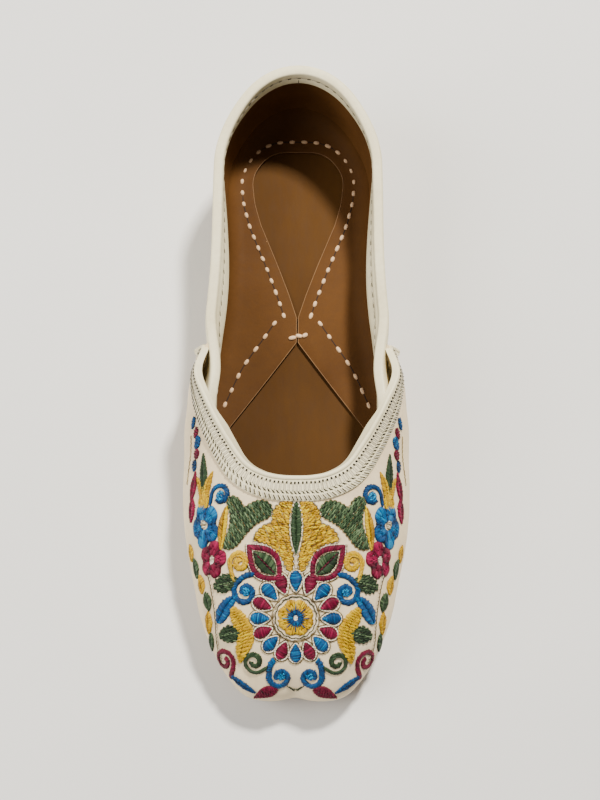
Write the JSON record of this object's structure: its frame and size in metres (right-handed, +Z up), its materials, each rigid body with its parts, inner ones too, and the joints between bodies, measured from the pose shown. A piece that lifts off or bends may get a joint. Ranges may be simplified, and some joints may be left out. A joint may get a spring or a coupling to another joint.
{
  "type": "mojari shoe",
  "caption": "Flat leather slip-on mojari shoe with an embroidered vamp, a bound throat and topline, turned-in lining flaps, a leather sole and a low stacked heel.",
  "frame": {"origin": "on the ground, under the middle of the shoe's bounding box", "axes": "+Z up, +Y from toe to heel along the shoe, +X to the side"},
  "size_m": [0.09, 0.25, 0.0546],
  "materials": {
    "outsole": "natural veg-tanned sole leather",
    "heel_lift": "stacked leather, edge-dressed",
    "insole": "matt brown lining leather",
    "upper": "smooth cream leather, tan lining inside",
    "vamp": "smooth cream leather with coloured thread embroidery",
    "lining": "matt tan lining leather",
    "binding": "smooth cream binding leather"
  },
  "bodies": {
    "root": {"outsole": "outsole", "heel_lift": "heel_lift", "insole": "insole", "upper": "upper", "vamp": "vamp", "lining_flaps": "lining", "throat_binding": "binding", "topline_binding": "binding"}
  },
  "joints": []
}
